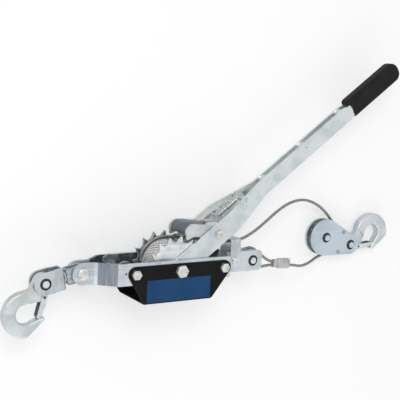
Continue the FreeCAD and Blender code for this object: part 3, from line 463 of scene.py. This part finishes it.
def smoothBelow(mesh, degrees):
    mesh.shade_smooth()
    mesh.set_sharp_from_angle(angle=math.radians(degrees))


def meshFrom(name, shape):
    mesh = bpy.data.meshes.new(name)
    shape.to_mesh(mesh)
    shape.free()
    smoothBelow(mesh, sharpFrom["cut"])
    return mesh


def bodyOf(node):
    return nodes[node]["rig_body"]


# CAD pieces whose sheared and cut edges are broken by a chamfer: finish, slot, width in millimetres
edged = {
    "near_side_plate": ("plate", "zinc", 0.5), "far_side_plate": ("farPlate", "zinc", 0.5),
    "cable_guide": ("guide", "zinc", 0.35), "near_lever_bar": ("bar", "zinc", 0.5),
    "far_lever_bar": ("farBar", "zinc", 0.5), "hook_yoke": ("yoke", "zinc", 0.4),
    "swivel_link": ("link", "zinc", 0.3), "near_block_plate": ("block", "zinc", 0.4),
    "far_block_plate": ("block", "zinc", 0.4), "near_ratchet_wheel": ("wheel", "zinc", 0.35),
    "far_ratchet_wheel": ("farWheel", "zinc", 0.35), "drive_pawl": ("pawl", "zinc", 0.7),
    "holding_pawl": ("holding", "zinc", 0.4), "guard_cover": ("cover", "black_sheet", 0.3),
    "axle_nut": ("bolt", "zinc", 0.5), "corner_nuts": ("bolt", "zinc", 0.45),
    "pawl_nut": ("bolt", "zinc", 0.45), "sheave": ("sheave", "zinc", 0.3),
    "swivel_washer": ("pin", "zinc", 0.3),
}
edging = {"merge": 0.005 * mm, "mend": 0.003 * mm, "flat": math.radians(0.5), "sharp": math.radians(40)}


def breakEdges(node, finish, width):
    shape = bmesh.new()
    shape.from_mesh(nodes[node].data)
    bmesh.ops.remove_doubles(shape, verts=shape.verts, dist=edging["merge"])
    bmesh.ops.dissolve_limit(shape, angle_limit=edging["flat"], verts=shape.verts, edges=shape.edges)
    joined = [edge for edge in shape.edges if edge.is_manifold]
    sharp = [edge for edge in joined if edge.calc_face_angle(0) > edging["sharp"]]
    bmesh.ops.bevel(shape, geom=sharp, offset=width * mm, offset_type="OFFSET", segments=1, profile=0.5,
                    affect="EDGES", material=-1, clamp_overlap=False)
    bmesh.ops.remove_doubles(shape, verts=shape.verts, dist=edging["mend"])
    addPiece(node + "_edged", meshFrom(node + "_edged", shape), finish, bodyOf(node), [node])


for node, (finish, slot, width) in edged.items():
    breakEdges(node, finish, width)
print("plates and wheels edged:", len(edged))


# CAD pieces that keep their own shape
kept = {
    "corner_spacer": "pin", "guide_screws": "bolt", "left_ear_pin": "bolt", "anchor_pin": "pin",
    "anchor_spool": "spool", "drum_tube": "spool", "lever_rivets": "bolt", "lever_spacers": "bar",
    "spring_pin": "pin", "pawl_sleeve": "pin", "swivel_rivet": "pin", "yoke_pin": "pin",
    "left_hook": "hook", "right_hook": "hook", "left_latch": "latch", "right_latch": "latch",
    "left_latch_pin": "shadowDarkPin", "right_latch_pin": "shadowDarkPin", "block_rivets": "rivet",
    "block_spacers": "block", "sheave_pin": "pin", "block_hook_pin": "pin",
    "label_panel": "panel", "lever_grip": "grip", "rope_ferrule": "ferrule",
}
for node, finish in kept.items():
    mesh = nodes[node].data
    mesh.materials.clear()
    mesh.materials.append(finishes[finish])
print("CAD pieces finished:", len(kept))


# Lines that cords and wires follow
lineSteps = 24  # between two points of a route
mergeGap = 0.001 * mm


def smoothLine(points):
    curve = bpy.data.curves.new("route", "CURVE")
    curve.dimensions = "3D"
    curve.resolution_u = lineSteps
    spline = curve.splines.new("NURBS")
    spline.points.add(len(points) - 1)
    for target, point in zip(spline.points, points):
        target.co = (*point, 1)
    spline.order_u = 3
    spline.use_endpoint_u = True
    holder = bpy.data.objects.new("route", curve)
    mesh = bpy.data.meshes.new_from_object(holder)
    line = [vertex.co.copy() for vertex in mesh.vertices]
    bpy.data.objects.remove(holder)
    bpy.data.curves.remove(curve)
    bpy.data.meshes.remove(mesh)
    return line


def lengthOf(line):
    return sum((after - before).length for before, after in zip(line, line[1:]))


def evenly(line, step):  # the same line in equal steps
    total = lengthOf(line)
    count = round(total / step)
    points = [line[0]]
    travelled = 0.0
    for before, after in zip(line, line[1:]):
        span = (after - before).length
        while len(points) < count and travelled + span >= total * len(points) / count:
            share = (total * len(points) / count - travelled) / span
            points.append(before.lerp(after, share))
        travelled += span
    return points + [line[-1]]


# A section drawn along a line, turned once in each lay; crowns are the strands' outer sides
def sweep(name, line, section, lay=None):
    profile = bpy.data.curves.new("section", "CURVE")
    ring = profile.splines.new("POLY")
    ring.points.add(len(section) - 1)
    for target, point in zip(ring.points, section):
        target.co = (point.x, point.y, 0, 1)
    ring.use_cyclic_u = True
    path = bpy.data.curves.new("path", "CURVE")
    path.dimensions = "3D"
    path.twist_mode = "MINIMUM"
    path.bevel_mode = "OBJECT"
    path.use_fill_caps = True
    spline = path.splines.new("POLY")
    spline.points.add(len(line) - 1)
    travelled = 0.0
    for index, (target, point) in enumerate(zip(spline.points, line)):
        travelled += (point - line[max(index - 1, 0)]).length
        target.co = (*point, 1)
        target.tilt = 2 * math.pi * travelled / lay if lay else 0
    holders = [bpy.data.objects.new("sweep", data) for data in (profile, path)]
    path.bevel_object = holders[0]
    for holder in holders:
        bpy.context.scene.collection.objects.link(holder)
    bpy.context.view_layer.update()
    graph = bpy.context.evaluated_depsgraph_get()
    mesh = bpy.data.meshes.new_from_object(holders[1].evaluated_get(graph))
    mesh.name = name
    for holder in holders:
        bpy.data.objects.remove(holder)
    reach = [point.length for point in section]
    span = max(reach) - min(reach) or 1.0
    crown = mesh.attributes.new("crown", "FLOAT", "POINT")
    for index, item in enumerate(crown.data):
        item.value = (reach[index % len(section)] - min(reach)) / span
    shape = bmesh.new()
    shape.from_mesh(mesh)
    bmesh.ops.remove_doubles(shape, verts=shape.verts, dist=mergeGap)
    bmesh.ops.recalc_face_normals(shape, faces=shape.faces)
    shape.to_mesh(mesh)
    shape.free()
    smoothBelow(mesh, sharpFrom["swept"])
    return mesh


def roundSection(radius, sides):
    return [polar(radius, 360 * index / sides) for index in range(sides)]


wireRope = {
    "radius": 2.5 * mm, "strands": 6, "strand": 0.84 * mm, "strandSides": (-84, -28, 28, 84),
    "lay": 31 * mm, "step": 1.25 * mm,
}


def ropeSection(rope):
    section = []
    for strand in range(rope["strands"]):
        centre = 360 * strand / rope["strands"]
        middle = polar(rope["radius"] - rope["strand"], centre)
        for side in rope["strandSides"]:
            section.append(middle + polar(rope["strand"], centre + side))
    return section


# The free rope: dead end in the ferrule, round the anchor, out to the block and back to the drum
freeRope = {
    "route": [
        (223.6, -10.1, 50.0), (200.0, -8.4, 50.0), (183.2, -7.2, 50.0), (164.5, 6.4, 50.0),
        (143.0, 22.0, 50.0), (122.2, 5.5, 50.0), (132.5, -19.0, 50.0), (158.9, -15.75, 50.0),
        (182.8, -12.8, 50.0), (200.0, -14.0, 50.0), (228.7, -16.1, 50.0), (254.0, -23.0, 39.0),
        (282.0, -22.6, 24.0), (309.2, -14.8, 12.0), (341.3, -6.4, 12.0), (351.2, 24.3, 12.0),
        (335.3, 43.7, 12.0), (316.5, 62.5, 15.0), (292.6, 77.9, 18.0), (264.5, 86.2, 22.0),
        (234.0, 83.0, 27.5), (206.0, 70.8, 33.0), (180.5, 55.0, 38.0), (156.9, 41.8, 43.0),
        (131.5, 32.0, 47.5), (108.0, 29.1, 50.0), (16.6, 39.5, 33.0), (-9.5, 42.4, 33.0),
        (-33.7, 27.4, 33.0), (-38.3, 14.6, 33.0), (-37.2, 6.8, 32.6),
    ],
}


def makeFreeRope():
    line = evenly(smoothLine([Vector(point) * mm for point in freeRope["route"]]), wireRope["step"])
    mesh = sweep("free_rope_laid", line, ropeSection(wireRope), wireRope["lay"])
    piece = addPiece("free_rope_laid", mesh, "rope", bodyOf("free_rope"), ["free_rope"])
    length = lengthOf(line)
    print("free rope length", round(length, 4))


makeFreeRope()


# The rope on the drum: one neat outer layer over an inner one
winding = {
    "radius": 35.8 * mm, "pitch": 5.45 * mm, "turns": 7.5, "middle": 50 * mm, "start": 185.0,
    "innerRadius": 30.9 * mm, "innerLay": -31 * mm, "step": 1.5 * mm,
}


def coilLine(radius, pitch, turns, start, middle, step):
    count = round(2 * math.pi * radius * turns / step)
    line = []
    for index in range(count + 1):
        turned = turns * index / count
        line.append(polar(radius, start + 360 * turned, middle + pitch * (turned - turns / 2)))
    return line


def makeWinding():
    layers = [("rope_winding_laid", winding["radius"], wireRope["lay"], ["rope_winding"]),
              ("rope_core_laid", winding["innerRadius"], winding["innerLay"], ["rope_core"])]
    for name, radius, lay, replaced in layers:
        line = coilLine(radius, winding["pitch"], winding["turns"], winding["start"], winding["middle"],
                        winding["step"])
        mesh = sweep(name, line, ropeSection(wireRope), lay)
        addPiece(name, mesh, "wound", bodyOf(replaced[0]), replaced)


makeWinding()
print("rope laid and wound")


# Springs
leverTurn = Matrix.Rotation(math.radians(leverDegrees), 4, "Z")
pawlSpring = {
    "wire": 0.75 * mm, "radius": 6.15 * mm, "turns": 18, "start": 109.2 * mm, "end": 151.6 * mm,
    "side": 9.0 * mm, "middle": 50 * mm, "sides": 10, "step": 0.9 * mm,
}


def makePawlSpring():
    spring = pawlSpring
    span = spring["end"] - spring["start"]
    coil = coilLine(spring["radius"], span / spring["turns"], spring["turns"], 90, 0, spring["step"])
    centre = Vector(((spring["start"] + spring["end"]) / 2, spring["side"], spring["middle"]))
    line = [centre + Vector((point.z, point.y, -point.x)) for point in coil]
    mesh = sweep("drive_spring_wound", line, roundSection(spring["wire"], spring["sides"]))
    mesh.transform(leverTurn)
    addPiece("drive_spring_wound", mesh, "spring", bodyOf("drive_spring"), ["drive_spring"])


holdSpring = {
    "wire": 0.5 * mm, "radius": 6.6 * mm, "pitch": 1.42 * mm, "turns": 2.25, "bottom": 79.9 * mm,
    "start": 20.0, "hub": (-cornerReach, 0.0), "lead": 6.0 * mm, "tail": 13.4 * mm, "leadDrop": 4.5 * mm,
    "tailRise": 4.0 * mm, "startCorner": 0.15, "endCorner": 0.08, "sides": 10, "step": 0.7 * mm,
}


def makeHoldSpring():
    spring = holdSpring
    hub = Vector((*spring["hub"], 0)) * mm
    middle = spring["bottom"] + spring["pitch"] * spring["turns"] / 2
    coil = coilLine(spring["radius"], spring["pitch"], spring["turns"], spring["start"], middle,
                    spring["step"])
    coil = [point + hub for point in coil]
    startTurn = coil[0] - (coil[1] - coil[0]).normalized() * spring["lead"]
    endTurn = coil[-1] + (coil[-1] - coil[-2]).normalized() * spring["tail"]
    up = Vector((0, 0, 1))
    line = [startTurn - up * spring["leadDrop"], startTurn - up * mm]
    line += [startTurn.lerp(coil[0], spring["startCorner"])] + coil
    line += [endTurn.lerp(coil[-1], spring["endCorner"])]
    line += [endTurn + up * mm, endTurn + up * spring["tailRise"]]
    mesh = sweep("holding_spring_wound", line, roundSection(spring["wire"], spring["sides"]))
    addPiece("holding_spring_wound", mesh, "spring", bodyOf("holding_spring"),
             ["holding_spring"])


makePawlSpring()
makeHoldSpring()
print("springs wound")


# Bolts, in millimetres: a hexagon head with a chamfered crown and a threaded end
pawlReach = 83.5  # from the axle to the pawl's bolt, along the lever
boltSizes = {
    "axle_bolt": {"places": [(0, 0)], "radius": 5.0, "flats": 17.0, "head": 6.4, "seat": 91.0,
                  "end": 0.0, "turn": 35.0, "pitch": 1.5, "thread": 16.0},
    "corner_bolts": {"places": [(-cornerReach, 0), (cornerReach, 0)], "radius": 4.0, "flats": 13.0,
                     "head": 5.3, "seat": 91.0, "end": 0.0, "turn": 28.0, "pitch": 1.25, "thread": 14.0},
    "pawl_bolt": {"places": [polar(pawlReach, leverDegrees).xy], "radius": 4.0, "flats": 13.0,
                  "head": 5.3, "seat": 83.9, "end": 8.1, "turn": leverDegrees + 12.0, "pitch": 1.25,
                  "thread": 12.0},
}
boltForm = {  # threadDepth is a share of the pitch
    "threadDepth": 0.54, "endCut": 0.3, "firstThread": 0.6, "steps": 32,
    "crownCut": 0.9, "crownRings": 3, "crownReach": 0.1,
}


def threadedShank(bolt):
    shape = bmesh.new()
    depth = boltForm["threadDepth"] * bolt["pitch"]
    heights = [(0.0, bolt["end"]), (bolt["radius"] - depth - boltForm["endCut"], bolt["end"])]
    height = bolt["end"] + boltForm["firstThread"]
    while height < bolt["end"] + bolt["thread"]:
        heights += [(bolt["radius"] - depth, height), (bolt["radius"], height + bolt["pitch"] / 2)]
        height += bolt["pitch"]
    heights += [(bolt["radius"], height), (bolt["radius"], bolt["seat"]), (0.0, bolt["seat"])]
    points = [shape.verts.new(Vector((radius, 0, z)) * mm) for radius, z in heights]
    lines = [shape.edges.new(pair) for pair in zip(points, points[1:])]
    bmesh.ops.spin(shape, geom=points + lines, cent=(0, 0, 0), axis=(0, 0, 1), angle=2 * math.pi,
                   steps=boltForm["steps"], use_merge=True)
    bmesh.ops.remove_doubles(shape, verts=shape.verts, dist=mergeGap)
    bmesh.ops.recalc_face_normals(shape, faces=shape.faces)
    return shape


def addHexHead(shape, bolt):
    turn = Matrix.Rotation(math.radians(bolt["turn"]), 4, "Z")
    place = Matrix.Translation((0, 0, (bolt["seat"] + bolt["head"] / 2) * mm))
    corner = bolt["flats"] / math.sqrt(3) * mm
    made = bmesh.ops.create_cone(shape, cap_ends=True, segments=6, radius1=corner, radius2=corner,
                                 depth=bolt["head"] * mm, matrix=place @ turn)
    top = (bolt["seat"] + bolt["head"] - boltForm["crownReach"]) * mm
    edges = {edge for vert in made["verts"] for edge in vert.link_edges}
    rims = [edge for edge in edges if all(vert.co.z > top for vert in edge.verts)]
    bmesh.ops.bevel(shape, geom=rims, offset=boltForm["crownCut"] * mm, offset_type="OFFSET",
                    segments=boltForm["crownRings"], profile=0.5, affect="EDGES", material=-1,
                    clamp_overlap=True)


for name, bolt in boltSizes.items():
    whole = bmesh.new()
    for x, y in bolt["places"]:
        single = threadedShank(bolt)
        addHexHead(single, bolt)
        bmesh.ops.translate(single, verts=single.verts, vec=Vector((x, y, 0)) * mm)
        part = bpy.data.meshes.new(name)
        single.to_mesh(part)
        single.free()
        whole.from_mesh(part)
        bpy.data.meshes.remove(part)
    addPiece(name + "_threaded", meshFrom(name, whole), "bolt", bodyOf(name), [name])
print("bolts threaded")

# Floor, lamps and world: a white table under soft light
stageLook = {
    "floor": 3.0, "sides": 64, "drop": 0.02 * mm, "floorShade": 0.56, "floorRoughness": 0.95,
    "lift": 0.49, "soft": 0.62,
}
lampLooks = [
    {"name": "key", "place": (-0.7, 1.2, 1.9), "size": 1.1, "power": 13.0},
    {"name": "fill", "place": (0.2, -1.6, 1.2), "size": 1.2, "power": 5.0},
    {"name": "low", "place": (-1.5, -0.9, 0.9), "size": 1.0, "power": 3.0},
]
winchMiddle = Vector((0.08, 0.05, 0.05))


def seenRays(finish):
    camera, glossy, through = [finish.add("LightPath", {}, {}, name) for name in
                               ("Is Camera Ray", "Is Glossy Ray", "Is Transmission Ray")]
    return camera.maths("MAXIMUM", camera.maths("MAXIMUM", camera, glossy), through)


def addFloor():
    shape = bmesh.new()
    bmesh.ops.create_circle(shape, cap_ends=True, segments=stageLook["sides"], radius=stageLook["floor"])
    bmesh.ops.translate(shape, verts=shape.verts, vec=(0, 0, -stageLook["drop"]))
    mesh = bpy.data.meshes.new("floor")
    shape.to_mesh(mesh)
    shape.free()
    floor = bpy.data.objects.new("floor", mesh)
    bpy.context.scene.collection.objects.link(floor)
    material, finish, coords, shader = newMaterial("paleFloor")
    lift = seenRays(finish) * stageLook["lift"]
    shade = stageLook["floorShade"]
    finish.fill(shader, {
        "Base Color": colour(shade, shade, shade),
        "Roughness": stageLook["floorRoughness"],
        "Specular IOR Level": 0.0,
        "Emission Color": lift,
        "Emission Strength": 1.0,
    })
    mesh.materials.append(material)


def addLamps():
    for look in lampLooks:
        data = bpy.data.lights.new(look["name"], "AREA")
        data.shape = "DISK"
        data.size = look["size"]
        data.energy = look["power"]
        lamp = bpy.data.objects.new(look["name"], data)
        lamp.location = look["place"]
        lamp.rotation_euler = (winchMiddle - lamp.location).to_track_quat("-Z", "Y").to_euler()
        bpy.context.scene.collection.objects.link(lamp)


def addWorld():
    world = bpy.data.worlds.new("studio")
    world.use_nodes = True
    bpy.context.scene.world = world
    finish = Finish(world.node_tree)
    strength = seenRays(finish) * (1 - stageLook["soft"]) + stageLook["soft"]
    finish.fill(world.node_tree.nodes["Background"], {"Color": colour(1, 1, 1), "Strength": strength})


addFloor()
addLamps()
addWorld()
bpy.context.scene.view_settings.view_transform = "Standard"
print("stage set")
